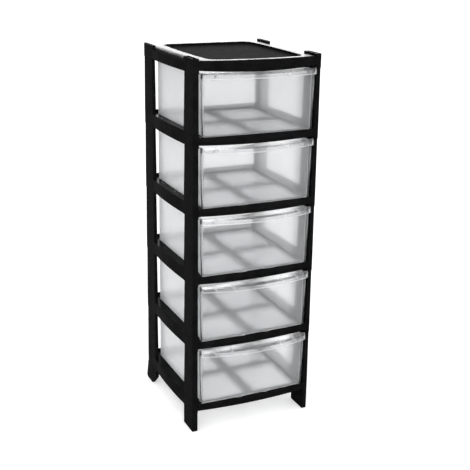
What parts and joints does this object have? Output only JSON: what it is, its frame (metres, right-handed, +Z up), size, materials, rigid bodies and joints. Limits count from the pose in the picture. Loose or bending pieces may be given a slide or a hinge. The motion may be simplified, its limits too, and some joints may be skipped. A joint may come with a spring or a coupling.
{
  "type": "plastic drawer tower",
  "caption": "Tall free-standing frame of stacked shelves and corner uprights, holding translucent drawers that slide out at the front, with a shallow tray on top.",
  "frame": {"origin": "bottom centre of the whole box round the tower, on the floor", "axes": "+Z up, +X to the right as seen from the front, drawers open towards -Y"},
  "size_m": [0.343, 0.39, 0.96],
  "materials": {
    "frame_plastic": "black polypropylene, fine grain, half gloss",
    "drawer_plastic": "frosted translucent polypropylene"
  },
  "bodies": {
    "tower_frame": {"top_frame": "frame_plastic", "shelf_frame_1": "frame_plastic", "shelf_frame_2": "frame_plastic", "shelf_frame_3": "frame_plastic", "shelf_frame_4": "frame_plastic", "shelf_frame_5": "frame_plastic", "upright_1_front_left": "frame_plastic", "upright_1_front_right": "frame_plastic", "upright_1_rear_left": "frame_plastic", "upright_1_rear_right": "frame_plastic", "upright_2_front_left": "frame_plastic", "upright_2_front_right": "frame_plastic", "upright_2_rear_left": "frame_plastic", "upright_2_rear_right": "frame_plastic", "upright_3_front_left": "frame_plastic", "upright_3_front_right": "frame_plastic", "upright_3_rear_left": "frame_plastic", "upright_3_rear_right": "frame_plastic", "upright_4_front_left": "frame_plastic", "upright_4_front_right": "frame_plastic", "upright_4_rear_left": "frame_plastic", "upright_4_rear_right": "frame_plastic", "upright_5_front_left": "frame_plastic", "upright_5_front_right": "frame_plastic", "upright_5_rear_left": "frame_plastic", "upright_5_rear_right": "frame_plastic", "foot_front_left": "frame_plastic", "foot_front_right": "frame_plastic", "foot_rear_left": "frame_plastic", "foot_rear_right": "frame_plastic"},
    "sliding_drawer_1": {"drawer_1": "drawer_plastic"},
    "sliding_drawer_2": {"drawer_2": "drawer_plastic"},
    "sliding_drawer_3": {"drawer_3": "drawer_plastic"},
    "sliding_drawer_4": {"drawer_4": "drawer_plastic"},
    "sliding_drawer_5": {"drawer_5": "drawer_plastic"}
  },
  "joints": [
    {"name": "drawer_1_slide", "type": "slide", "parent": "tower_frame", "child": "sliding_drawer_1", "axis": [0, -1, 0], "range_m": [0, 0.25]},
    {"name": "drawer_2_slide", "type": "slide", "parent": "tower_frame", "child": "sliding_drawer_2", "axis": [0, -1, 0], "range_m": [0, 0.25]},
    {"name": "drawer_3_slide", "type": "slide", "parent": "tower_frame", "child": "sliding_drawer_3", "axis": [0, -1, 0], "range_m": [0, 0.25]},
    {"name": "drawer_4_slide", "type": "slide", "parent": "tower_frame", "child": "sliding_drawer_4", "axis": [0, -1, 0], "range_m": [0, 0.25]},
    {"name": "drawer_5_slide", "type": "slide", "parent": "tower_frame", "child": "sliding_drawer_5", "axis": [0, -1, 0], "range_m": [0, 0.25]}
  ]
}
